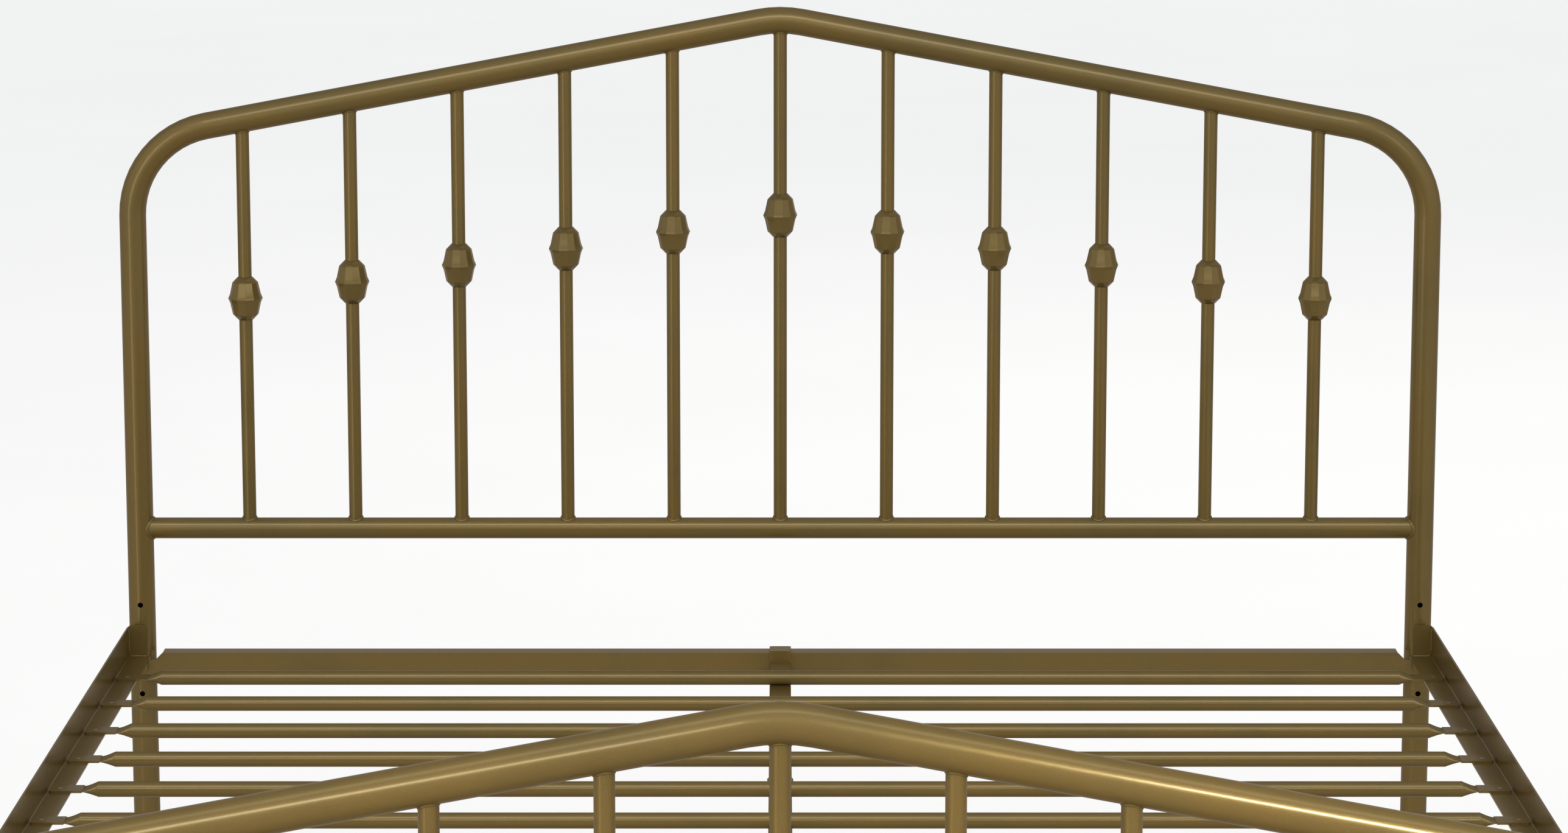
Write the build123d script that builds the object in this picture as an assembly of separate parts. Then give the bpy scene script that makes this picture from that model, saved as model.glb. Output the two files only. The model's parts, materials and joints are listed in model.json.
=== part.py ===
from build123d import *
import math
import os

# Queen-size metal bed frame with a peaked tube headboard and footboard.
# Millimetres. +Z is up, X runs across the bed and Y along it.
# The footboard is at -Y, the headboard at +Y, and the floor is Z = 0.

# Layout
POST_SPACING_X = 1556.0
POST_SPACING_Y = 2112.0
POST_X = POST_SPACING_X / 2
POST_Y = POST_SPACING_Y / 2
RAIL_TOP_Z = 324.0

# Hoops: two posts and a bent tube with a shallow peak, joined flush just below its corner bends
HOOP_DIAMETER = 32.0
HOOP_WALL = 1.5
HOOP_SLOPE = 10.64
JOINT_BELOW_BEND = 12.0
HEAD_PEAK_Z = 1063.6
FOOT_PEAK_Z = 755.5
CORNER_BEND_RADIUS = 110.0
PEAK_BEND_RADIUS = 140.0

# Lower bars and spindles
LOWER_BAR_DIAMETER = 25.4
LOWER_BAR_WALL = 1.2
LOWER_BAR_Z = 442.7
SPINDLE_DIAMETER = 16.0
SPINDLE_WALL = 1.0
SPINDLE_COUNT = 11
SPINDLE_PITCH = 128.9

# Faceted castings on the spindles, one on each
HEAD_CASTING_Z = 826.6
FOOT_CASTING_Z = 620.0
CASTING_DROP_PER_SPINDLE = 20.2
CASTING_FACETS = 12
CASTING_TURN = 7.5
CASTING_HALF_HEIGHT = 26.0
CASTING_RINGS = (
    (-CASTING_HALF_HEIGHT, 8.7),
    (-19.4, 14.9),
    (-5.5, 17.8),
    (0.0, 20.0),
    (5.5, 17.8),
    (19.4, 14.9),
    (CASTING_HALF_HEIGHT, 8.7),
)

# Side rails: steel angle with the web outside and the flange at the bottom
RAIL_HEIGHT = 38.0
RAIL_FLANGE = 28.0
RAIL_THICKNESS = 2.0
RAIL_INNER_RADIUS = 1.5
RAIL_OUTER_X = POST_X + HOOP_DIAMETER / 2
RAIL_FLANGE_TOP_Z = RAIL_TOP_Z - RAIL_HEIGHT + RAIL_THICKNESS

# Rail end brackets and the rows of bolt holes in the posts
BRACKET_THICKNESS = 3.0
BRACKET_INNER_X = POST_X - 8.0
BRACKET_OUTER_X = RAIL_OUTER_X
BRACKET_BOTTOM_Z = 268.0
BRACKET_TOP_Z = 326.0
BRACKET_CORNER_RADIUS = 5.0
POST_HOLE_COUNT = 4
POST_HOLE_PITCH = 36.9
POST_HOLE_BOTTOM_Z = 239.3
USED_HOLES = (1, 2)
BOLT_DIAMETER = 6.0
BOLT_HOLE_DIAMETER = 6.5

# Cross angles at both ends, bolted to the posts behind the rail brackets
CROSS_ANGLE_TOP_Z = 291.3
CROSS_ANGLE_HEIGHT = 35.0
CROSS_ANGLE_DEPTH = 22.0
CROSS_ANGLE_THICKNESS = 2.5
CROSS_ANGLE_SHELF_HALF = 752.0
CROSS_ANGLE_TAB_HALF = 790.0
CROSS_ANGLE_CHAMFER = 8.3
INNER_FACE_Y = POST_Y - HOOP_DIAMETER / 2
CROSS_ANGLE_FACE_Y = INNER_FACE_Y - CROSS_ANGLE_THICKNESS
RAIL_END_Y = CROSS_ANGLE_FACE_Y - BRACKET_THICKNESS

# Slats: round tube with both ends pressed flat
SLAT_COUNT = 16
SLAT_PITCH = 122.9
SLAT_DIAMETER = 17.0
SLAT_WALL = 1.2
SLAT_TAB_THICKNESS = 2.5
SLAT_TAB_WIDTH = 24.0
SLAT_ROUND_HALF = 737.0
SLAT_FLAT_HALF = 753.5
SLAT_END_HALF = 789.0
SLAT_SEAM_THICKNESS = 0.4
SLAT_SEAM_WIDTH = 20.0
SLAT_Z = RAIL_FLANGE_TOP_Z + SLAT_TAB_THICKNESS / 2
SLAT_SCREW_X = 778.0
SLAT_SCREW_DIAMETER = 5.0
SLAT_SCREW_HOLE = 5.5

# Centre rail: square tube under the slats, hooked over both cross angles
CENTRE_RAIL_SIZE = 25.5
CENTRE_RAIL_WALL = 1.5
CENTRE_RAIL_RADIUS = 2.5
CENTRE_RAIL_TOP_Z = SLAT_Z - SLAT_DIAMETER / 2
CENTRE_RAIL_BOTTOM_Z = CENTRE_RAIL_TOP_Z - CENTRE_RAIL_SIZE
HOOK_THICKNESS = 3.0
HOOK_WIDTH = 26.0
HOOK_FACE_Y = CROSS_ANGLE_FACE_Y - HOOK_THICKNESS

# Centre legs: a sleeve under the centre rail and a leg tube held by a cross bolt
LEG_Y = (-600.0, 0.0, 600.0)
LEG_PLATE_LENGTH = 60.0
LEG_PLATE_THICKNESS = 3.0
SLEEVE_DIAMETER = 25.4
SLEEVE_WALL = 1.5
SLEEVE_BOTTOM_Z = 112.0
LEG_TUBE_DIAMETER = 22.0
LEG_TUBE_WALL = 1.5
LEG_TUBE_TOP_Z = 192.0
LEG_TUBE_BOTTOM_Z = 20.0
LEG_BOLT_Z = 130.0
THREAD_PLUG_HEIGHT = 14.0

# Levelling feet: a pad on a threaded stem
FOOT_PAD_DIAMETER = 34.0
FOOT_PAD_HEIGHT = 9.0
FOOT_STEM_DIAMETER = 8.0
FOOT_STEM_TOP_Z = 52.0
FOOT_STEM_CLEARANCE = 0.05

# End caps in the bottoms of the posts
CAP_HEIGHT = 4.0
CAP_PLUG_HEIGHT = 18.0

END_SIGN = {"head": 1, "foot": -1}
SIDE_SIGN = {"left": -1, "right": 1}
PEAK_Z = {"head": HEAD_PEAK_Z, "foot": FOOT_PEAK_Z}
CASTING_Z = {"head": HEAD_CASTING_Z, "foot": FOOT_CASTING_Z}


def slope_drop(x):
    """How far the sloping top has fallen below its peak at this X."""
    return abs(x) * math.tan(math.radians(HOOP_SLOPE))


def cylinder_z(radius, bottom, top, x=0.0, y=0.0):
    """An upright cylinder between two heights."""
    return Pos(x, y, bottom) * extrude(Circle(radius), top - bottom)


def cylinder_x(radius, start, end, y, z):
    """A cylinder along X."""
    face = Plane(origin=(start, y, z), z_dir=(1, 0, 0)) * Circle(radius)
    return extrude(face, end - start)


def cylinder_y(radius, start, end, x, z):
    """A cylinder along Y."""
    face = Plane(origin=(x, start, z), z_dir=(0, 1, 0)) * Circle(radius)
    return extrude(face, end - start)


def block(x_range, y_range, z_range):
    """A box between two corners."""
    size = [abs(high - low) for low, high in (x_range, y_range, z_range)]
    centre = [(low + high) / 2 for low, high in (x_range, y_range, z_range)]
    return Pos(*centre) * Box(*size)


def outline_plate(points, start_y, end_y):
    """A plate with an outline in XZ, from one Y to another."""
    corners = [(x, start_y, z) for x, z in points]
    return extrude(make_face(Polyline(*corners, close=True)), end_y - start_y, dir=(0, 1, 0))


def spindle_positions():
    """The X of each spindle, from left to right."""
    middle = (SPINDLE_COUNT - 1) / 2
    return [(index - middle) * SPINDLE_PITCH for index in range(SPINDLE_COUNT)]


def slat_positions():
    """The Y of each slat, from the headboard down to the footboard."""
    middle = (SLAT_COUNT - 1) / 2
    return [(middle - index) * SLAT_PITCH for index in range(SLAT_COUNT)]


def post_hole_heights():
    """The heights of the bolt holes through each post."""
    return [POST_HOLE_BOTTOM_Z + index * POST_HOLE_PITCH for index in range(POST_HOLE_COUNT)]


def bolt_heights():
    """The heights of the two bolts at each corner."""
    heights = post_hole_heights()
    return [heights[index] for index in USED_HOLES]


def post_top_z(end):
    """The height at which the posts meet the bent top tube."""
    corner = PEAK_Z[end] - slope_drop(POST_X)
    bend_length = CORNER_BEND_RADIUS * math.tan(math.radians(90 - HOOP_SLOPE) / 2)
    return corner - bend_length - JOINT_BELOW_BEND


def top_rod(end, radius):
    """The bent path of the top tube, filled to a given radius."""
    y = END_SIGN[end] * POST_Y
    peak = PEAK_Z[end]
    corner = peak - slope_drop(POST_X)
    bottom = post_top_z(end)
    path = FilletPolyline(
        (-POST_X, y, bottom),
        (-POST_X, y, corner),
        (0, y, peak),
        (POST_X, y, corner),
        (POST_X, y, bottom),
        radius=[CORNER_BEND_RADIUS, PEAK_BEND_RADIUS, CORNER_BEND_RADIUS],
    )
    section = Plane(origin=(-POST_X, y, bottom), z_dir=(0, 0, 1)) * Circle(radius)
    return sweep(section, path=path)


def post_rod(end, side, radius):
    """A post, filled to a given radius."""
    return cylinder_z(radius, CAP_HEIGHT, post_top_z(end), SIDE_SIGN[side] * POST_X, END_SIGN[end] * POST_Y)


def post(end, side):
    """A straight post with its row of bolt holes."""
    tube = post_rod(end, side, HOOP_DIAMETER / 2) - post_rod(end, side, HOOP_DIAMETER / 2 - HOOP_WALL)
    x = SIDE_SIGN[side] * POST_X
    y = END_SIGN[end] * POST_Y
    for z in post_hole_heights():
        tube -= cylinder_y(BOLT_HOLE_DIAMETER / 2, y - HOOP_DIAMETER, y + HOOP_DIAMETER, x, z)
    return tube


def lower_bar(end):
    """The straight bar between the posts, coped to fit round them."""
    y = END_SIGN[end] * POST_Y
    outer = cylinder_x(LOWER_BAR_DIAMETER / 2, -POST_X, POST_X, y, LOWER_BAR_Z)
    inner = cylinder_x(LOWER_BAR_DIAMETER / 2 - LOWER_BAR_WALL, -POST_X, POST_X, y, LOWER_BAR_Z)
    bar = outer - inner
    for side in SIDE_SIGN:
        bar -= post_rod(end, side, HOOP_DIAMETER / 2)
    return bar


def spindle(end, x, rod):
    """One upright tube, coped to the top tube above and to the lower bar below."""
    y = END_SIGN[end] * POST_Y
    top = PEAK_Z[end] - slope_drop(x)
    outer = cylinder_z(SPINDLE_DIAMETER / 2, LOWER_BAR_Z, top, x, y)
    inner = cylinder_z(SPINDLE_DIAMETER / 2 - SPINDLE_WALL, LOWER_BAR_Z, top, x, y)
    bar = cylinder_x(LOWER_BAR_DIAMETER / 2, x - SPINDLE_DIAMETER, x + SPINDLE_DIAMETER, y, LOWER_BAR_Z)
    pieces = (outer - inner - bar - rod).solids()
    return max(pieces, key=lambda piece: piece.volume)


def casting(end, x):
    """A faceted casting, pointed at its middle, threaded on a spindle."""
    y = END_SIGN[end] * POST_Y
    rings = [
        Pos(0, 0, z) * RegularPolygon(half_width, CASTING_FACETS, major_radius=False, rotation=CASTING_TURN)
        for z, half_width in CASTING_RINGS
    ]
    body = loft(rings, ruled=True)
    body -= cylinder_z(SPINDLE_DIAMETER / 2, -2 * CASTING_HALF_HEIGHT, 2 * CASTING_HALF_HEIGHT)
    drop = abs(x) / SPINDLE_PITCH * CASTING_DROP_PER_SPINDLE
    return Pos(x, y, CASTING_Z[end] - drop) * body


def angle_profile(height, flange, thickness, radius):
    """An L outline: its web is up the left side and its flange runs to the right."""
    profile = make_face(
        Polyline(
            (0, 0),
            (flange, 0),
            (flange, thickness),
            (thickness, thickness),
            (thickness, height),
            (0, height),
            close=True,
        )
    )
    corner = profile.vertices().sort_by_distance((thickness, thickness))[0]
    return fillet(corner, radius)


def side_rail(side):
    """A side rail: steel angle with a hole below each slat end."""
    profile = angle_profile(RAIL_HEIGHT, RAIL_FLANGE, RAIL_THICKNESS, RAIL_INNER_RADIUS)
    plane = Plane(
        origin=(-RAIL_OUTER_X, RAIL_END_Y, RAIL_TOP_Z - RAIL_HEIGHT), x_dir=(1, 0, 0), z_dir=(0, -1, 0)
    )
    rail = extrude(plane * profile, 2 * RAIL_END_Y)
    for y in slat_positions():
        rail -= cylinder_z(SLAT_SCREW_HOLE / 2, RAIL_TOP_Z - RAIL_HEIGHT - 1, SLAT_Z, -SLAT_SCREW_X, y)
    return rail if side == "left" else mirror(rail, about=Plane.YZ)


def rail_bracket(end, side):
    """A bolt plate across the post, welded to the end of the side rail."""
    plate_x = (-BRACKET_OUTER_X, -BRACKET_INNER_X)
    bracket = block(plate_x, (RAIL_END_Y, CROSS_ANGLE_FACE_Y), (BRACKET_BOTTOM_Z, BRACKET_TOP_Z))
    bracket = fillet(bracket.edges().filter_by(Axis.Y), BRACKET_CORNER_RADIUS)
    for z in bolt_heights():
        bracket -= cylinder_y(BOLT_DIAMETER / 2, RAIL_END_Y - 1, POST_Y, -POST_X, z)
    if side == "right":
        bracket = mirror(bracket, about=Plane.YZ)
    return bracket if end == "head" else mirror(bracket, about=Plane.XZ)


def cross_angle(end):
    """The angle between the posts that carries the centre rail."""
    top = CROSS_ANGLE_TOP_Z
    bottom = top - CROSS_ANGLE_HEIGHT
    shoulder_x = CROSS_ANGLE_SHELF_HALF + CROSS_ANGLE_CHAMFER
    shoulder_z = top - CROSS_ANGLE_CHAMFER
    right_side = [
        (CROSS_ANGLE_SHELF_HALF, top),
        (shoulder_x, shoulder_z),
        (CROSS_ANGLE_TAB_HALF, shoulder_z),
        (CROSS_ANGLE_TAB_HALF, bottom),
    ]
    left_side = [(-x, z) for x, z in reversed(right_side)]
    web = outline_plate(right_side + left_side, CROSS_ANGLE_FACE_Y, INNER_FACE_Y)
    shelf = block(
        (-CROSS_ANGLE_SHELF_HALF, CROSS_ANGLE_SHELF_HALF),
        (CROSS_ANGLE_FACE_Y, CROSS_ANGLE_FACE_Y + CROSS_ANGLE_DEPTH),
        (top - CROSS_ANGLE_THICKNESS, top),
    )
    angle = web + shelf
    for x in (-POST_X, POST_X):
        z = bolt_heights()[0]
        angle -= cylinder_y(BOLT_HOLE_DIAMETER / 2, CROSS_ANGLE_FACE_Y - 1, INNER_FACE_Y + 1, x, z)
    return angle if end == "head" else mirror(angle, about=Plane.XZ)


def centre_rail():
    """The square tube under the middle of the slats."""
    half_length = HOOK_FACE_Y
    plane = Plane(origin=(0, -half_length, CENTRE_RAIL_TOP_Z - CENTRE_RAIL_SIZE / 2), z_dir=(0, 1, 0))
    inner_size = CENTRE_RAIL_SIZE - 2 * CENTRE_RAIL_WALL
    outer = RectangleRounded(CENTRE_RAIL_SIZE, CENTRE_RAIL_SIZE, CENTRE_RAIL_RADIUS)
    inner = RectangleRounded(inner_size, inner_size, CENTRE_RAIL_RADIUS - CENTRE_RAIL_WALL)
    return extrude(plane * (outer - inner), 2 * half_length)


def centre_rail_hook(end):
    """The plate on the end of the centre rail that hooks over the cross angle."""
    half_width = HOOK_WIDTH / 2
    top = CROSS_ANGLE_TOP_Z + HOOK_THICKNESS
    face = block((-half_width, half_width), (HOOK_FACE_Y, CROSS_ANGLE_FACE_Y), (CENTRE_RAIL_BOTTOM_Z, top))
    lip = block(
        (-half_width, half_width),
        (CROSS_ANGLE_FACE_Y, CROSS_ANGLE_FACE_Y + CROSS_ANGLE_DEPTH),
        (CROSS_ANGLE_TOP_Z, top),
    )
    hook = face + lip
    far_corners = hook.edges().filter_by(Axis.Z).group_by(Axis.Y)[-1]
    hook = fillet(far_corners, HOOK_THICKNESS)
    return hook if end == "head" else mirror(hook, about=Plane.XZ)


def slat_end():
    """The taper and pressed tab at the right-hand end of a slat, centred on Y = 0 and Z = 0."""
    round_section = Plane(origin=(SLAT_ROUND_HALF, 0, 0), x_dir=(0, 1, 0), z_dir=(1, 0, 0))
    flat_section = Plane(origin=(SLAT_FLAT_HALF, 0, 0), x_dir=(0, 1, 0), z_dir=(1, 0, 0))
    taper = loft(
        [
            round_section * Circle(SLAT_DIAMETER / 2),
            flat_section * Ellipse(SLAT_TAB_WIDTH / 2, SLAT_TAB_THICKNESS / 2),
        ]
    )
    hollow = loft(
        [
            round_section * Circle(SLAT_DIAMETER / 2 - SLAT_WALL),
            flat_section * Ellipse(SLAT_SEAM_WIDTH / 2, SLAT_SEAM_THICKNESS / 2),
        ]
    )
    half_width = SLAT_TAB_WIDTH / 2
    half_thickness = SLAT_TAB_THICKNESS / 2
    tab = block(
        (SLAT_FLAT_HALF, SLAT_END_HALF), (-half_width, half_width), (-half_thickness, half_thickness)
    )
    end_corners = tab.edges().filter_by(Axis.Z).group_by(Axis.X)[-1]
    tab = fillet(end_corners, SLAT_TAB_THICKNESS)
    seam = block(
        (SLAT_FLAT_HALF - 1, SLAT_END_HALF + 1),
        (-SLAT_SEAM_WIDTH / 2, SLAT_SEAM_WIDTH / 2),
        (-SLAT_SEAM_THICKNESS / 2, SLAT_SEAM_THICKNESS / 2),
    )
    screw_hole = cylinder_z(SLAT_SCREW_DIAMETER / 2, -SLAT_TAB_THICKNESS, SLAT_TAB_THICKNESS, SLAT_SCREW_X)
    return taper + tab - hollow - seam - screw_hole


def slat():
    """A slat centred on the bed's middle line, at Y = 0 and Z = 0."""
    outer = cylinder_x(SLAT_DIAMETER / 2, -SLAT_ROUND_HALF, SLAT_ROUND_HALF, 0, 0)
    inner = cylinder_x(SLAT_DIAMETER / 2 - SLAT_WALL, -SLAT_ROUND_HALF, SLAT_ROUND_HALF, 0, 0)
    right_end = slat_end()
    return outer - inner + right_end + mirror(right_end, about=Plane.YZ)


def slat_screw(x, y):
    """A pan-head screw up through the rail's flange into a slat's tab."""
    head_top = RAIL_TOP_Z - RAIL_HEIGHT
    head_height = 2.8
    shank = cylinder_z(SLAT_SCREW_DIAMETER / 2, head_top, RAIL_FLANGE_TOP_Z + SLAT_TAB_THICKNESS, x, y)
    head = cylinder_z(SLAT_SCREW_DIAMETER * 0.9, head_top - head_height, head_top, x, y)
    rim = head.edges().group_by(Axis.Z)[0]
    return fillet(rim, 1.0) + shank


def saddle_washer(end, x, z):
    """A shaped washer between the round post and a bolt's head."""
    outer_y = POST_Y + HOOP_DIAMETER / 2
    half_size = 8.0
    body = block((x - half_size, x + half_size), (outer_y - 3, outer_y + 3), (z - half_size, z + half_size))
    body = fillet(body.edges().filter_by(Axis.Y), 3.0)
    body -= cylinder_z(HOOP_DIAMETER / 2, z - 2 * half_size, z + 2 * half_size, x, POST_Y)
    body -= cylinder_y(BOLT_HOLE_DIAMETER / 2, outer_y - 5, outer_y + 5, x, z)
    return body if end == "head" else mirror(body, about=Plane.XZ)


def rail_bolt(end, x, z):
    """A button-head bolt through the post, the cross angle and the rail bracket."""
    seat_y = POST_Y + HOOP_DIAMETER / 2 + 3
    head_height = 4.0
    shank = cylinder_y(BOLT_DIAMETER / 2, RAIL_END_Y, seat_y, x, z)
    head = cylinder_y(BOLT_DIAMETER * 0.95, seat_y, seat_y + head_height, x, z)
    head = fillet(head.edges().group_by(Axis.Y)[-1], 2.0)
    socket_plane = Plane(origin=(x, seat_y + 1.5, z), z_dir=(0, 1, 0))
    socket = extrude(socket_plane * RegularPolygon(2.3, 6), head_height)
    bolt = shank + head - socket
    return bolt if end == "head" else mirror(bolt, about=Plane.XZ)


def leg_sleeve(y):
    """The upper half of a centre leg, welded under the centre rail by its plate."""
    plate_bottom = CENTRE_RAIL_BOTTOM_Z - LEG_PLATE_THICKNESS
    half_width = CENTRE_RAIL_SIZE / 2
    plate = block(
        (-half_width, half_width),
        (y - LEG_PLATE_LENGTH / 2, y + LEG_PLATE_LENGTH / 2),
        (plate_bottom, CENTRE_RAIL_BOTTOM_Z),
    )
    plate = fillet(plate.edges().filter_by(Axis.Z), 4.0)
    tube = cylinder_z(SLEEVE_DIAMETER / 2, SLEEVE_BOTTOM_Z, plate_bottom, 0, y)
    bore = cylinder_z(SLEEVE_DIAMETER / 2 - SLEEVE_WALL, SLEEVE_BOTTOM_Z, plate_bottom, 0, y)
    bolt_hole = cylinder_x(BOLT_HOLE_DIAMETER / 2, -SLEEVE_DIAMETER, SLEEVE_DIAMETER, y, LEG_BOLT_Z)
    return plate + tube - bore - bolt_hole


def leg_tube(y):
    """The lower half of a centre leg, with a hole for each height of the base."""
    outer = cylinder_z(LEG_TUBE_DIAMETER / 2, LEG_TUBE_BOTTOM_Z, LEG_TUBE_TOP_Z, 0, y)
    tube = outer - cylinder_z(LEG_TUBE_DIAMETER / 2 - LEG_TUBE_WALL, LEG_TUBE_BOTTOM_Z, LEG_TUBE_TOP_Z, 0, y)
    for step in (-1, 0, 1):
        z = LEG_BOLT_Z + step * POST_HOLE_PITCH
        tube -= cylinder_x(BOLT_HOLE_DIAMETER / 2, -LEG_TUBE_DIAMETER, LEG_TUBE_DIAMETER, y, z)
    return tube


def thread_plug(y):
    """The threaded plug in the bottom of a leg tube."""
    bore_radius = FOOT_STEM_DIAMETER / 2 + FOOT_STEM_CLEARANCE
    plug_radius = LEG_TUBE_DIAMETER / 2 - LEG_TUBE_WALL
    top = LEG_TUBE_BOTTOM_Z + THREAD_PLUG_HEIGHT
    flange = cylinder_z(LEG_TUBE_DIAMETER / 2, LEG_TUBE_BOTTOM_Z - 2, LEG_TUBE_BOTTOM_Z, 0, y)
    plug = cylinder_z(plug_radius, LEG_TUBE_BOTTOM_Z, top, 0, y)
    return flange + plug - cylinder_z(bore_radius, 0, top + 1, 0, y)


def leg_bolt(y):
    """The hex bolt across a centre leg."""
    seat_x = SLEEVE_DIAMETER / 2
    shank = cylinder_x(BOLT_DIAMETER / 2, -seat_x, seat_x + 7, y, LEG_BOLT_Z)
    head_plane = Plane(origin=(-seat_x, y, LEG_BOLT_Z), z_dir=(-1, 0, 0))
    return shank + extrude(head_plane * RegularPolygon(5.8, 6), 4.0)


def leg_nut(y):
    """The nut on a leg's cross bolt."""
    nut_plane = Plane(origin=(SLEEVE_DIAMETER / 2, y, LEG_BOLT_Z), z_dir=(1, 0, 0))
    return extrude(nut_plane * (RegularPolygon(5.8, 6) - Circle(BOLT_DIAMETER / 2)), 5.0)


def levelling_foot(y):
    """A foot pad on its threaded stem."""
    pad = cylinder_z(FOOT_PAD_DIAMETER / 2, 0, FOOT_PAD_HEIGHT, 0, y)
    pad = fillet(pad.edges().group_by(Axis.Z)[-1], 4.0)
    pad = chamfer(pad.edges().group_by(Axis.Z)[0], 1.0)
    return pad + cylinder_z(FOOT_STEM_DIAMETER / 2, FOOT_PAD_HEIGHT, FOOT_STEM_TOP_Z, 0, y)


def post_cap(x, y):
    """A plastic cap plugged into the bottom of a post."""
    disc = cylinder_z(HOOP_DIAMETER / 2, 0, CAP_HEIGHT, x, y)
    disc = fillet(disc.edges().group_by(Axis.Z)[0], 1.5)
    plug = cylinder_z(HOOP_DIAMETER / 2 - HOOP_WALL, CAP_HEIGHT, CAP_HEIGHT + CAP_PLUG_HEIGHT, x, y)
    bore = cylinder_z(HOOP_DIAMETER / 2 - HOOP_WALL - 2, CAP_HEIGHT, CAP_HEIGHT + CAP_PLUG_HEIGHT, x, y)
    return disc + plug - bore


def one_solid(shape):
    """The single solid in a result, or the shape itself if it is one already."""
    solids = shape.solids()
    return solids[0] if len(solids) == 1 else shape


def group(shapes):
    """Separate solids kept together in one node."""
    return Compound(children=[solid for shape in shapes for solid in shape.solids()])


def save(name, shape):
    """Write one node."""
    export_step(shape, f"parts/{name}.step")


def main():
    os.makedirs("parts", exist_ok=True)

    rods = {end: top_rod(end, HOOP_DIAMETER / 2) for end in END_SIGN}
    for end, rod in rods.items():
        save(f"{end}board_top_tube", one_solid(rod - top_rod(end, HOOP_DIAMETER / 2 - HOOP_WALL)))
        save(f"{end}board_lower_bar", one_solid(lower_bar(end)))
        save(f"{end}board_castings", group([casting(end, x) for x in spindle_positions()]))
        save(f"{end}_cross_angle", one_solid(cross_angle(end)))
        save(f"centre_rail_hook_{end}", one_solid(centre_rail_hook(end)))
        for side in SIDE_SIGN:
            save(f"{end}board_post_{side}", one_solid(post(end, side)))
            save(f"rail_bracket_{end}_{side}", one_solid(rail_bracket(end, side)))

    for number, x in enumerate(spindle_positions(), start=1):
        save(f"headboard_spindle_{number:02d}", spindle("head", x, rods["head"]))
    save("footboard_spindles", group([spindle("foot", x, rods["foot"]) for x in spindle_positions()]))

    for side in SIDE_SIGN:
        save(f"{side}_side_rail", one_solid(side_rail(side)))
    save("centre_rail", one_solid(centre_rail()))

    slat_shape = one_solid(slat())
    for number, y in enumerate(slat_positions(), start=1):
        save(f"slat_{number:02d}", Pos(0, y, SLAT_Z) * slat_shape)
    screw_places = [(sign * SLAT_SCREW_X, y) for sign in SIDE_SIGN.values() for y in slat_positions()]
    save("slat_screws", group([slat_screw(x, y) for x, y in screw_places]))

    bolt_places = [(end, sign * POST_X, z) for end in END_SIGN for sign in (-1, 1) for z in bolt_heights()]
    save("rail_bolts", group([rail_bolt(end, x, z) for end, x, z in bolt_places]))
    save("saddle_washers", group([saddle_washer(end, x, z) for end, x, z in bolt_places]))

    save("centre_leg_sleeves", group([leg_sleeve(y) for y in LEG_Y]))
    save("leg_bolts", group([leg_bolt(y) for y in LEG_Y]))
    save("leg_nuts", group([leg_nut(y) for y in LEG_Y]))
    save("leg_thread_plugs", group([thread_plug(y) for y in LEG_Y]))
    for number, y in enumerate(LEG_Y, start=1):
        save(f"centre_leg_tube_{number}", one_solid(leg_tube(y)))
        save(f"levelling_foot_{number}", one_solid(levelling_foot(y)))

    corners = [(x, y) for x in (-POST_X, POST_X) for y in (-POST_Y, POST_Y)]
    save("post_caps", group([post_cap(x, y) for x, y in corners]))


main()
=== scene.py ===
import json
import math
import random

import bmesh
import bpy
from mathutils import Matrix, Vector
from mathutils.bvhtree import BVHTree

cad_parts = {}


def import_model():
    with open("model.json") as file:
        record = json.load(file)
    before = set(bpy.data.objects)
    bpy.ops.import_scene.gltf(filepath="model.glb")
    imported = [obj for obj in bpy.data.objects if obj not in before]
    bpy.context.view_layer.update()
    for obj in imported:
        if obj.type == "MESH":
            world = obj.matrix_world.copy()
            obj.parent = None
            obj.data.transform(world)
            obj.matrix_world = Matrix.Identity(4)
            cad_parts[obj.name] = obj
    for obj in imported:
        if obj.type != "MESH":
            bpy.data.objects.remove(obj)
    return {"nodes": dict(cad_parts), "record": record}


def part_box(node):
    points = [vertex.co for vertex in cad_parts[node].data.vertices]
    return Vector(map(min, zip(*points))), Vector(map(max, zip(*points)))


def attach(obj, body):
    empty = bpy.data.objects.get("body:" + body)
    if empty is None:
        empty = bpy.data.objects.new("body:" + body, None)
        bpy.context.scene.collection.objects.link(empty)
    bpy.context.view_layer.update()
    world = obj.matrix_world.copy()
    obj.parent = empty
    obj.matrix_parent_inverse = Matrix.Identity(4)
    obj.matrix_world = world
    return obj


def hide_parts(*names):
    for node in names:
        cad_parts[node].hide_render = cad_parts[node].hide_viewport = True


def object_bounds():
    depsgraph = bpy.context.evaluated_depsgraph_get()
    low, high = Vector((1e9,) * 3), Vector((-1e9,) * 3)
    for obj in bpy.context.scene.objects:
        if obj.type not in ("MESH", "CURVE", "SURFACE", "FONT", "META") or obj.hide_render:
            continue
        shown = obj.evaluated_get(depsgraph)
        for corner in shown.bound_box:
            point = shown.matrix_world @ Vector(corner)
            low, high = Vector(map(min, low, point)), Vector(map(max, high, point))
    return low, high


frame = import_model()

CAD_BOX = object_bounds()
NODES = frame["nodes"]
RECORD = frame["record"]
MM = 0.001

# Camera: its place relative to the headboard's posts and to the tops of the side rails
CAMERA_BEFORE_HEAD_POSTS = 5.232
CAMERA_ABOVE_RAILS = 1.248
CAMERA_TILT_DOWN = 9.51
CAMERA_LENS = 100.96
CAMERA_SHIFT = (0.0024, -0.0598)

# Weld beads: half width out from the tube and half height along it
BAR_WELD = (1.3 * MM, 2.4 * MM)
TOP_WELD = (0.9 * MM, 1.3 * MM)
POST_WELD = (1.6 * MM, 2.2 * MM)
LEG_WELD = (2.0 * MM, 2.0 * MM)
SEAM_WELD = (1.3 * MM, 1.3 * MM)
SEAM_STEPS = 40
RING_STEPS = 72
BEAD_SIDES = 10

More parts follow.
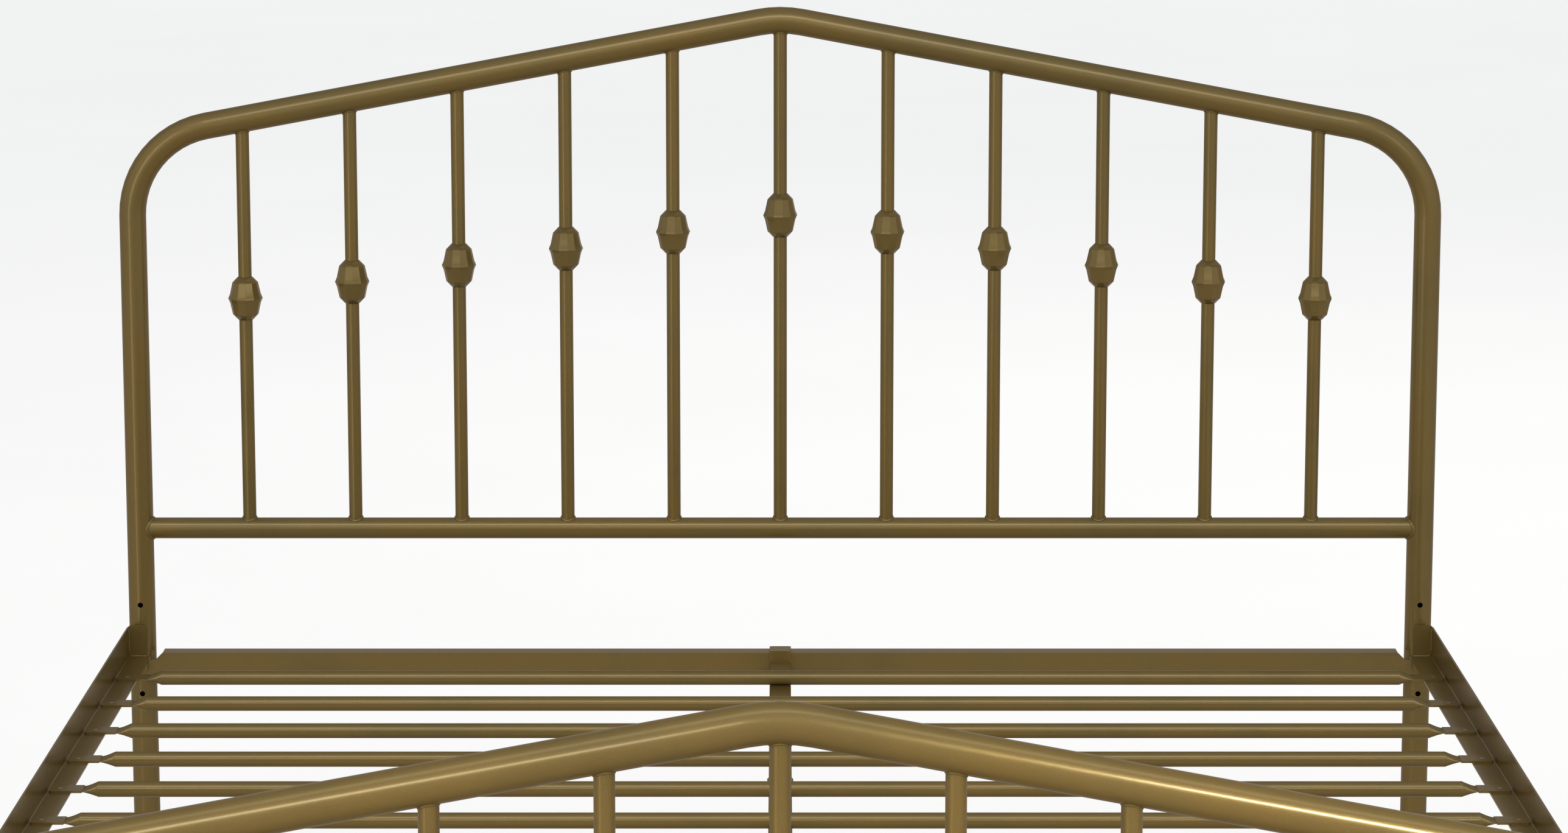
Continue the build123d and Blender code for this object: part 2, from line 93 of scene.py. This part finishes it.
# How a bead's section varies: in ripples, slowly along it, and towards the ends of a seam
WELD_RIPPLE_PITCH = 2.0 * MM
WELD_RIPPLE_SWELL = 0.09
WELD_DRIFT_SWELL = 0.06
SEAM_END_SIZE = 0.35
SEAM_END_GROWTH = 9

# Where beads run, and where the rays that find their surfaces start
SLEEVE_CLEARANCE = 0.2 * MM
SEAM_ABOVE_FLANGE = 4 * MM
SEAM_BELOW_TOP = 2 * MM
PROBE_DISTANCE = 10 * MM
RING_START_BACK = 30 * MM

# Castings: which edges of the CAD mesh are facet edges, and how far they are rounded
SAME_POINT = 0.01 * MM
FLAT_ANGLE = math.radians(2)
SHARP_ANGLE = math.radians(6)
MOST_FACET_CORNERS = 6
CASTING_BEVEL = 1.5 * MM
CASTING_BEVEL_SEGMENTS = 4

SPINDLE_COUNT = 11
PRESSED = ("side_rail", "rail_bracket", "cross_angle", "centre_rail")
UP, DOWN = Vector((0, 0, 1)), Vector((0, 0, -1))
ALONG_X, ALONG_Y = Vector((1, 0, 0)), Vector((0, 1, 0))

# Studio surroundings: (elevation in degrees, level, tint), in front of the bed and behind it
COOL, PLAIN = (0.95, 1.0, 1.08), (1.0, 1.0, 1.0)
WARM, AMBER = (1.08, 1.0, 0.90), (1.12, 0.96, 0.82)
FRONT_LEVELS = (
    (-90, 0.36, WARM),
    (-55, 0.48, WARM),
    (-30, 0.58, WARM),
    (-12, 0.62, WARM),
    (0, 0.78, PLAIN),
    (14, 0.82, PLAIN),
    (28, 0.86, PLAIN),
    (45, 0.86, COOL),
    (65, 0.80, COOL),
    (90, 0.60, COOL),
)
BACK_LEVELS = (
    (-90, 0.36, WARM),
    (-30, 0.48, WARM),
    (-10, 0.50, WARM),
    (8, 0.40, WARM),
    (25, 0.34, PLAIN),
    (45, 0.30, PLAIN),
    (65, 0.40, COOL),
    (90, 0.60, COOL),
)
BACKDROP = (0.94, 0.94, 0.935, 1)
FRONT_TO_BACK = 0.5

FLOOR_RADIUS = 60.0
FLOOR_FADE = (9.0, 30.0)
FLOOR_GLOW = (0.70, 0.70, 0.696, 1)
FLOOR_DROP = 0.4 * MM

# Between these a noise texture keeps most of its values
NOISE_LOW, NOISE_HIGH = 0.35, 0.65

# The colour sockets of Blender's Mix node
MIX_COLOR_A, MIX_COLOR_B, MIX_COLOR_RESULT = 6, 7, 2


# ---------------------------------------------------------------- node helpers


def add_node(tree, kind, inputs=(), **settings):
    """A shader node with its settings and unlinked input values."""
    node = tree.nodes.new(kind)
    for name, value in settings.items():
        setattr(node, name, value)
    for name, value in dict(inputs).items():
        node.inputs[name].default_value = value
    return node


def link(tree, source, output, target, socket):
    """Links one node's output to another's input."""
    tree.links.new(source.outputs[output], target.inputs[socket])


def noise(tree, coordinates, scale, detail=2.0, roughness=0.5):
    """A noise texture in the object's own coordinates. The scale is in features per metre."""
    node = add_node(tree, "ShaderNodeTexNoise", {"Scale": scale, "Detail": detail, "Roughness": roughness})
    link(tree, coordinates, "Object", node, "Vector")
    return node


def ramp(tree, source, output, stops):
    """A colour ramp over a value, as (position, colour) stops."""
    node = add_node(tree, "ShaderNodeValToRGB")
    elements = node.color_ramp.elements
    while len(elements) > 1:
        elements.remove(elements[0])
    elements[0].position, elements[0].color = stops[0][0], (*stops[0][1], 1)
    for position, color in stops[1:]:
        elements.new(position).color = (*color, 1)
    link(tree, source, output, node, "Fac")
    return node


def ranged(tree, source, output, low, high):
    """Maps a noise value onto the range from low to high."""
    node = add_node(
        tree,
        "ShaderNodeMapRange",
        {"From Min": NOISE_LOW, "From Max": NOISE_HIGH, "To Min": low, "To Max": high},
        clamp=True,
    )
    link(tree, source, output, node, "Value")
    return node


def new_material(name):
    """A material with its node tree, shader and texture coordinates."""
    material = bpy.data.materials.new(name)
    material.use_nodes = True
    tree = material.node_tree
    shader = tree.nodes["Principled BSDF"]
    coordinates = add_node(tree, "ShaderNodeTexCoord")
    return material, tree, shader, coordinates


# ---------------------------------------------------------------- materials


def gold_paint(name, roughness_range=(0.29, 0.31), edge_radius=0.0):
    """Satin antique-gold powder coat: cloudy tone, fine flake and a faint orange peel."""
    material, tree, shader, coordinates = new_material(name)
    base = (0.147, 0.102, 0.029)
    warm = (0.156, 0.104, 0.028)
    dark = (0.131, 0.093, 0.028)
    cloud_scale, patch_scale, peel_scale, flake_scale = 7.0, 55.0, 420.0, 1400.0

    clouds = noise(tree, coordinates, cloud_scale, 4.0, 0.6)
    tone = ramp(tree, clouds, "Fac", [(0.33, dark), (0.48, base), (0.66, warm)])
    flake = noise(tree, coordinates, flake_scale, 1.0)
    flake_tone = ranged(tree, flake, "Fac", 0.93, 1.07)
    color = add_node(tree, "ShaderNodeVectorMath", operation="SCALE")
    link(tree, tone, "Color", color, 0)
    link(tree, flake_tone, "Result", color, "Scale")
    link(tree, color, "Vector", shader, "Base Color")

    patches = noise(tree, coordinates, patch_scale, 3.0, 0.6)
    roughness = ranged(tree, patches, "Fac", *roughness_range)
    link(tree, roughness, "Result", shader, "Roughness")

    peel = noise(tree, coordinates, peel_scale, 1.0)
    bump = add_node(tree, "ShaderNodeBump", {"Strength": 0.02, "Distance": 0.0004})
    link(tree, peel, "Fac", bump, "Height")
    if edge_radius:
        edges = add_node(tree, "ShaderNodeBevel", {"Radius": edge_radius}, samples=4)
        link(tree, edges, "Normal", bump, "Normal")
    link(tree, bump, "Normal", shader, "Normal")

    shader.inputs["Metallic"].default_value = 0.45
    shader.inputs["Specular Tint"].default_value = (0.50, 0.38, 0.22, 1)
    shader.inputs["Coat Weight"].default_value = 0.38
    shader.inputs["Coat Roughness"].default_value = 0.15
    return material


def zinc_steel(name):
    """Zinc-plated steel with faint turning marks and a blotchy passivated tone."""
    material, tree, shader, coordinates = new_material(name)
    blotch_scale, mark_scale = 260.0, 1900.0
    blotches = noise(tree, coordinates, blotch_scale, 4.0, 0.65)
    dull, base, yellowed = (0.40, 0.40, 0.38), (0.52, 0.52, 0.51), (0.57, 0.56, 0.50)
    tone = ramp(tree, blotches, "Fac", [(0.35, dull), (0.55, base), (0.7, yellowed)])
    link(tree, tone, "Color", shader, "Base Color")
    marks = noise(tree, coordinates, mark_scale, 3.0, 0.7)
    roughness = ranged(tree, marks, "Fac", 0.26, 0.44)
    link(tree, roughness, "Result", shader, "Roughness")
    bump = add_node(tree, "ShaderNodeBump", {"Strength": 0.15, "Distance": 0.0002})
    link(tree, marks, "Fac", bump, "Height")
    link(tree, bump, "Normal", shader, "Normal")
    shader.inputs["Metallic"].default_value = 1.0
    return material


def black_plastic(name):
    """Moulded black plastic with a fine spark-eroded grain."""
    material, tree, shader, coordinates = new_material(name)
    dust_scale, grain_scale = 45.0, 1500.0
    dust = noise(tree, coordinates, dust_scale, 4.0, 0.6)
    clean, dusty = (0.016, 0.016, 0.017), (0.034, 0.033, 0.032)
    tone = ramp(tree, dust, "Fac", [(0.35, clean), (0.65, dusty)])
    link(tree, tone, "Color", shader, "Base Color")
    roughness = ranged(tree, dust, "Fac", 0.48, 0.6)
    link(tree, roughness, "Result", shader, "Roughness")
    grain = noise(tree, coordinates, grain_scale, 2.0)
    bump = add_node(tree, "ShaderNodeBump", {"Strength": 0.3, "Distance": 0.0003})
    link(tree, grain, "Fac", bump, "Height")
    link(tree, bump, "Normal", shader, "Normal")
    return material


def assign(obj, material):
    """Puts one material on an object without touching its mesh's shape."""
    if not obj.material_slots:
        obj.data.materials.append(None)
    for slot in obj.material_slots:
        slot.link = "OBJECT"
        slot.material = material


# ---------------------------------------------------------------- measuring the frame


def middle(node):
    """The middle of a node's box."""
    low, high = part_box(node)
    return (low + high) / 2


def half_size(node):
    """Half the size of a node's box, along each axis."""
    low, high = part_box(node)
    return (high - low) / 2


def surface_of(node):
    """A tree that rays can be cast at, for a node's mesh."""
    mesh = NODES[node].data
    return BVHTree.FromPolygons([v.co for v in mesh.vertices], [p.vertices for p in mesh.polygons])


def separate_parts(mesh):
    """The corners of the box round each loose part of a mesh, from left to right and from foot to head."""
    work = bmesh.new()
    work.from_mesh(mesh)
    bmesh.ops.remove_doubles(work, verts=work.verts, dist=SAME_POINT)
    work.verts.ensure_lookup_table()
    seen = set()
    found = []
    for start in work.verts:
        if start.index in seen:
            continue
        seen.add(start.index)
        group = [start]
        for vert in group:
            for edge in vert.link_edges:
                other = edge.other_vert(vert)
                if other.index not in seen:
                    seen.add(other.index)
                    group.append(other)
        low = Vector([min(v.co[axis] for v in group) for axis in range(3)])
        high = Vector([max(v.co[axis] for v in group) for axis in range(3)])
        found.append((low, high))
    work.free()
    return sorted(found, key=lambda box: (round(box[0].x, 4), round(box[0].y, 4)))


# ---------------------------------------------------------------- pieces


def add_piece(name, work, material, body="frame"):
    """Turns a bmesh into a smooth piece that rides on a body."""
    mesh = bpy.data.meshes.new(name)
    work.to_mesh(mesh)
    work.free()
    for polygon in mesh.polygons:
        polygon.use_smooth = True
    piece = bpy.data.objects.new(name, mesh)
    bpy.context.scene.collection.objects.link(piece)
    mesh.materials.append(material)
    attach(piece, body)
    return piece


def weld_bead(work, ring, along, section, seed, closed=True):
    """A rippled bead swept through (point, outward) pairs. along is the joined tube's direction."""
    rng = random.Random(seed)
    phase = rng.uniform(0, 2 * math.pi)
    drift = rng.uniform(0, 2 * math.pi)
    width, height = section
    count = len(ring)
    length = sum((ring[i][0] - ring[i - 1][0]).length for i in range(1, count))
    ripples = max(3, round(length / WELD_RIPPLE_PITCH))
    rows = []
    for index, (point, outward) in enumerate(ring):
        share = index / count
        swell = 1 + WELD_RIPPLE_SWELL * math.sin(2 * math.pi * ripples * share + phase)
        swell += WELD_DRIFT_SWELL * math.sin(4 * math.pi * share + drift)
        if not closed:
            end = min(index, count - 1 - index) / max(1, count - 1)
            swell *= min(1.0, SEAM_END_SIZE + SEAM_END_GROWTH * end)
        row = []
        for step in range(BEAD_SIDES):
            turn = 2 * math.pi * step / BEAD_SIDES
            offset = outward * (width * math.cos(turn)) + along * (height * math.sin(turn))
            row.append(work.verts.new(point + offset * swell))
        rows.append(row)
    last = count if closed else count - 1
    for index in range(last):
        here, there = rows[index], rows[(index + 1) % count]
        for step in range(BEAD_SIDES):
            after = (step + 1) % BEAD_SIDES
            work.faces.new((here[step], there[step], there[after], here[after]))
    if not closed:
        work.faces.new(list(reversed(rows[0])))
        work.faces.new(rows[-1])


def joint_ring(target, centre, direction, radius):
    """The (point, outward) pairs where a tube of this radius, running in this direction, meets a surface."""
    direction = direction.normalized()
    side = direction.orthogonal().normalized()
    other = direction.cross(side)
    ring = []
    for step in range(RING_STEPS):
        turn = 2 * math.pi * step / RING_STEPS
        outward = side * math.cos(turn) + other * math.sin(turn)
        start = centre + outward * radius - direction * RING_START_BACK
        hit = target.ray_cast(start, direction)[0]
        if hit is not None:
            ring.append((hit, outward))
    return ring


def board_welds(end, material):
    """The beads at both ends of each spindle and of the lower bar."""
    work = bmesh.new()
    top_tube = surface_of(f"{end}board_top_tube")
    lower_bar = surface_of(f"{end}board_lower_bar")
    if end == "head":
        spindles = [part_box(f"headboard_spindle_{i + 1:02d}") for i in range(SPINDLE_COUNT)]
    else:
        spindles = separate_parts(NODES["footboard_spindles"].data)
    for index, (low, high) in enumerate(spindles):
        x, y = (low.x + high.x) / 2, (low.y + high.y) / 2
        radius = (high.x - low.x) / 2
        ring = joint_ring(lower_bar, Vector((x, y, low.z + radius)), DOWN, radius)
        weld_bead(work, ring, UP, BAR_WELD, f"{end} bar {index}")
        ring = joint_ring(top_tube, Vector((x, y, high.z - 2 * radius)), UP, radius)
        weld_bead(work, ring, UP, TOP_WELD, f"{end} top {index}")
    bar = middle(f"{end}board_lower_bar")
    bar_radius = half_size(f"{end}board_lower_bar").z
    for side in ("left", "right"):
        post = surface_of(f"{end}board_post_{side}")
        outward = Vector((math.copysign(1, middle(f"{end}board_post_{side}").x), 0, 0))
        reach = half_size(f"{end}board_lower_bar").x - 2 * bar_radius
        ring = joint_ring(post, bar + outward * reach, outward, bar_radius)
        weld_bead(work, ring, outward, POST_WELD, f"{end} post {side}")
    add_piece(f"{end}board_welds", work, material)


def leg_welds(material):
    """The bead round each centre leg's sleeve, below its plate."""
    work = bmesh.new()
    sleeves = surface_of("centre_leg_sleeves")
    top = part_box("centre_leg_sleeves")[1].z
    for index, (low, high) in enumerate(separate_parts(NODES["centre_leg_sleeves"].data)):
        centre = Vector(((low.x + high.x) / 2, (low.y + high.y) / 2, top))
        start = Vector((low.x - PROBE_DISTANCE, centre.y, (low.z + high.z) / 2))
        hit = sleeves.ray_cast(start, ALONG_X)[0]
        radius = centre.x - hit.x + SLEEVE_CLEARANCE
        below_plate = Vector((centre.x, centre.y, top - 2 * PROBE_DISTANCE))
        ring = joint_ring(sleeves, below_plate, UP, radius)
        weld_bead(work, ring, UP, LEG_WELD, f"leg {index}")
    add_piece("centre_leg_welds", work, material)


def seam(start, end, outward):
    """A straight run of (point, outward) pairs for a bead."""
    return [(start.lerp(end, step / (SEAM_STEPS - 1)), outward) for step in range(SEAM_STEPS)]


def corner_welds(material):
    """The beads that join each side rail's end to its bracket plate, up its web and along its flange."""
    work = bmesh.new()
    for end in ("head", "foot"):
        for side in ("left", "right"):
            plate_low, plate_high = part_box(f"rail_bracket_{end}_{side}")
            rail_low, rail_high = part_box(f"{side}_side_rail")
            bed_side = math.copysign(1, rail_low.x + rail_high.x)
            bed_end = math.copysign(1, plate_low.y + plate_high.y)
            y = plate_low.y if bed_end > 0 else plate_high.y
            plate_edge = plate_low.x if bed_side > 0 else plate_high.x

            rail = surface_of(f"{side}_side_rail")
            rail_middle = (rail_low.x + rail_high.x) / 2
            probe_y = y - bed_end * PROBE_DISTANCE
            probe = Vector((rail_middle, probe_y, rail_high.z - SEAM_ABOVE_FLANGE))
            web = rail.ray_cast(probe, bed_side * ALONG_X)[0].x
            probe = Vector((rail_middle, probe_y, rail_high.z))
            flange = rail.ray_cast(probe, DOWN)[0].z

            bottom, top = flange + SEAM_ABOVE_FLANGE, rail_high.z - SEAM_BELOW_TOP
            upright = seam(Vector((web, y, bottom)), Vector((web, y, top)), ALONG_X)
            weld_bead(work, upright, ALONG_Y, SEAM_WELD, f"{end} {side} upright", closed=False)
            level = seam(Vector((web, y, flange)), Vector((plate_edge, y, flange)), UP)
            weld_bead(work, level, ALONG_Y, SEAM_WELD, f"{end} {side} flange", closed=False)
    add_piece("rail_bracket_welds", work, material)


def castings(end, material):
    """The spindles' castings, with the moulded edges softened."""
    node = f"{end}board_castings"
    work = bmesh.new()
    work.from_mesh(NODES[node].data)
    bmesh.ops.remove_doubles(work, verts=work.verts, dist=SAME_POINT)
    bmesh.ops.dissolve_limit(work, angle_limit=FLAT_ANGLE, verts=work.verts, edges=work.edges)
    bmesh.ops.recalc_face_normals(work, faces=work.faces)
    sharp = [
        edge
        for edge in work.edges
        if len(edge.link_faces) == 2
        and edge.calc_face_angle_signed(0) > SHARP_ANGLE
        and all(len(face.verts) <= MOST_FACET_CORNERS for face in edge.link_faces)
    ]
    bmesh.ops.bevel(
        work,
        geom=sharp,
        offset=CASTING_BEVEL,
        segments=CASTING_BEVEL_SEGMENTS,
        profile=0.5,
        affect="EDGES",
        clamp_overlap=True,
    )
    piece = add_piece(node + "_finished", work, material)
    soften = piece.modifiers.new("flat facets", "WEIGHTED_NORMAL")
    soften.weight = 100
    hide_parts(node)


# ---------------------------------------------------------------- studio


def floor():
    """A pale floor that fades into the backdrop far away, and that the bed doesn't reflect."""
    work = bmesh.new()
    bmesh.ops.create_circle(work, cap_ends=True, radius=FLOOR_RADIUS, segments=96)
    mesh = bpy.data.meshes.new("studio_floor")
    work.to_mesh(mesh)
    work.free()
    ground = bpy.data.objects.new("studio_floor", mesh)
    bpy.context.scene.collection.objects.link(ground)
    ground.location.z = CAD_BOX[0].z - FLOOR_DROP

    material = bpy.data.materials.new("studio_floor")
    material.use_nodes = True
    tree = material.node_tree
    tree.nodes.clear()
    coordinates = add_node(tree, "ShaderNodeTexCoord")
    length = add_node(tree, "ShaderNodeVectorMath", operation="LENGTH")
    link(tree, coordinates, "Object", length, 0)
    fade = add_node(
        tree,
        "ShaderNodeMapRange",
        {"From Min": FLOOR_FADE[0], "From Max": FLOOR_FADE[1]},
        interpolation_type="SMOOTHSTEP",
        clamp=True,
    )
    link(tree, length, "Value", fade, "Value")
    tint = noise(tree, coordinates, 1.3, 3.0)
    darker, paler = (0.30, 0.30, 0.297), (0.32, 0.32, 0.317)
    tone = ramp(tree, tint, "Fac", [(0.3, darker), (0.7, paler)])
    shaded = add_node(tree, "ShaderNodeBsdfDiffuse")
    link(tree, tone, "Color", shaded, "Color")
    glow = add_node(tree, "ShaderNodeEmission", {"Color": FLOOR_GLOW, "Strength": 1.0})
    surface = add_node(tree, "ShaderNodeAddShader")
    tree.links.new(shaded.outputs["BSDF"], surface.inputs[0])
    tree.links.new(glow.outputs["Emission"], surface.inputs[1])
    clear = add_node(tree, "ShaderNodeBsdfTransparent")
    mix = add_node(tree, "ShaderNodeMixShader")
    link(tree, fade, "Result", mix, "Fac")
    tree.links.new(surface.outputs["Shader"], mix.inputs[1])
    tree.links.new(clear.outputs["BSDF"], mix.inputs[2])
    output = add_node(tree, "ShaderNodeOutputMaterial")
    link(tree, mix, "Shader", output, "Surface")
    mesh.materials.append(material)
    ground.visible_glossy = False
    ground.visible_diffuse = False
    ground.visible_shadow = False


def world():
    """Soft surroundings, brighter above and in front. The camera sees a plain pale backdrop instead."""
    scene = bpy.context.scene
    scene.world = bpy.data.worlds.new("studio")
    scene.world.use_nodes = True
    tree = scene.world.node_tree
    tree.nodes.clear()
    coordinates = add_node(tree, "ShaderNodeTexCoord")
    split = add_node(tree, "ShaderNodeSeparateXYZ")
    link(tree, coordinates, "Generated", split, "Vector")

    height = add_node(tree, "ShaderNodeMapRange", {"From Min": -1.0, "From Max": 1.0})
    link(tree, split, "Z", height, "Value")
    side = add_node(
        tree,
        "ShaderNodeMapRange",
        {"From Min": -FRONT_TO_BACK, "From Max": FRONT_TO_BACK},
        interpolation_type="SMOOTHSTEP",
        clamp=True,
    )
    link(tree, split, "Y", side, "Value")
    blend = add_node(tree, "ShaderNodeMix", data_type="RGBA")
    link(tree, side, "Result", blend, "Factor")
    for levels, socket in ((FRONT_LEVELS, MIX_COLOR_A), (BACK_LEVELS, MIX_COLOR_B)):
        stops = []
        for angle, level, tint in levels:
            color = tuple(level * channel for channel in tint)
            stops.append(((math.sin(math.radians(angle)) + 1) / 2, color))
        vertical = ramp(tree, height, "Result", stops)
        tree.links.new(vertical.outputs["Color"], blend.inputs[socket])

    surroundings = add_node(tree, "ShaderNodeBackground", {"Strength": 1.0})
    tree.links.new(blend.outputs[MIX_COLOR_RESULT], surroundings.inputs["Color"])
    backdrop = add_node(tree, "ShaderNodeBackground", {"Color": BACKDROP, "Strength": 1.0})
    paths = add_node(tree, "ShaderNodeLightPath")
    mix = add_node(tree, "ShaderNodeMixShader")
    link(tree, paths, "Is Camera Ray", mix, "Fac")
    tree.links.new(surroundings.outputs["Background"], mix.inputs[1])
    tree.links.new(backdrop.outputs["Background"], mix.inputs[2])
    output = add_node(tree, "ShaderNodeOutputWorld")
    link(tree, mix, "Shader", output, "Surface")


def share_sent_out(beam):
    """The share of its power that a light needs to look as bright when its beam is this many degrees wide."""
    if beam >= 180:
        return 1.0
    half = math.radians(beam) / 2
    return 1 - half / math.tan(half)


def softbox(name, place, aim, size, radiance, color=PLAIN, beam=180, glossy=True):
    """A rectangular light that the camera doesn't see. place and aim count from the middle of the floor."""
    data = bpy.data.lights.new(name, "AREA")
    data.shape = "RECTANGLE"
    data.size, data.size_y = size
    data.energy = radiance * math.pi * size[0] * size[1] * share_sent_out(beam)
    data.color = color
    data.spread = math.radians(beam)
    light = bpy.data.objects.new(name, data)
    bpy.context.scene.collection.objects.link(light)
    middle_of_bed = (CAD_BOX[0] + CAD_BOX[1]) / 2
    origin = Vector((middle_of_bed.x, middle_of_bed.y, CAD_BOX[0].z))
    light.location = origin + Vector(place)
    direction = origin + Vector(aim) - light.location
    light.rotation_euler = direction.to_track_quat("-Z", "Y").to_euler()
    light.visible_camera = False
    light.visible_glossy = glossy


def lights():
    """Keys and strips that give the tubes their highlight lines, and fills that give none (glossy=False)."""
    head_left, head_middle, head_right = (-0.1, 0.8, 0.7), (0.0, 1.0, 0.7), (0.0, 0.6, 0.8)
    softbox("left_key", (-3.2, -4.0, 1.1), head_left, (0.8, 4.6), 3.4, beam=76)
    softbox("overhead", (0.0, -1.35, 3.1), head_middle, (3.4, 0.9), 3.6, COOL, beam=104)
    softbox("right_key", (3.0, -4.0, 2.3), head_right, (0.6, 1.1), 3.2)

    head_castings = (0.0, 1.05, 0.85)
    softbox("casting_strip", (0.0, -3.2, 2.3), head_castings, (1.8, 0.3), 4.5, beam=24)

    foot_front, foot_peak = (0.0, -1.05, 0.65), (0.0, -1.05, 0.7)
    softbox("foot_fill", (0.0, -2.0, 1.7), foot_front, (2.8, 0.8), 5.7, AMBER, 90, glossy=False)
    softbox("foot_low_fill", (0.0, -1.9, 0.3), foot_peak, (2.6, 0.5), 4.3, AMBER, 80, glossy=False)
    foot_left, foot_right = (-0.5, -1.05, 0.66), (0.5, -1.05, 0.66)
    softbox("foot_strip", (-1.15, -3.0, 2.1), foot_left, (1.5, 0.4), 13.0, beam=36)
    softbox("foot_glint", (1.25, -3.0, 2.1), foot_right, (0.7, 0.34), 80.0, beam=26)

    bed_middle = (0.0, 0.2, 0.5)
    softbox("back_fill", (1.8, 4.6, 3.8), bed_middle, (2.4, 1.2), 7.0, WARM, glossy=False)


def camera():
    """The photograph's viewing angle, placed from the head posts and the tops of the side rails."""
    posts = middle("headboard_post_left")
    rails_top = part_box("left_side_rail")[1].z
    data = bpy.data.cameras.new("camera")
    data.lens = CAMERA_LENS
    data.sensor_width = 36.0
    data.sensor_fit = "HORIZONTAL"
    data.shift_x, data.shift_y = CAMERA_SHIFT
    data.clip_start, data.clip_end = 0.05, 200.0
    view = bpy.data.objects.new("camera", data)
    bpy.context.scene.collection.objects.link(view)
    view.location = (0.0, posts.y - CAMERA_BEFORE_HEAD_POSTS, rails_top + CAMERA_ABOVE_RAILS)
    view.rotation_euler = (math.radians(90 - CAMERA_TILT_DOWN), 0.0, 0.0)
    bpy.context.scene.camera = view


# ---------------------------------------------------------------- build

finishes = {
    "gold_paint": gold_paint("gold_paint"),
    "zinc_steel": zinc_steel("zinc_steel"),
    "black_plastic": black_plastic("black_plastic"),
}
pressed_gold = gold_paint("gold_paint_on_pressed_steel", edge_radius=0.0003)
cast_gold = gold_paint("gold_paint_on_castings", roughness_range=(0.17, 0.22))

for part in RECORD["subparts"]:
    node, slot = part["node"], part["material_slot"]
    material = finishes[slot]
    if slot == "gold_paint" and any(word in node for word in PRESSED):
        material = pressed_gold
    assign(NODES[node], material)

for board in ("head", "foot"):
    castings(board, cast_gold)
    board_welds(board, finishes["gold_paint"])
leg_welds(finishes["gold_paint"])
corner_welds(finishes["gold_paint"])

floor()
world()
lights()
camera()
bpy.context.scene.view_settings.view_transform = "Standard"
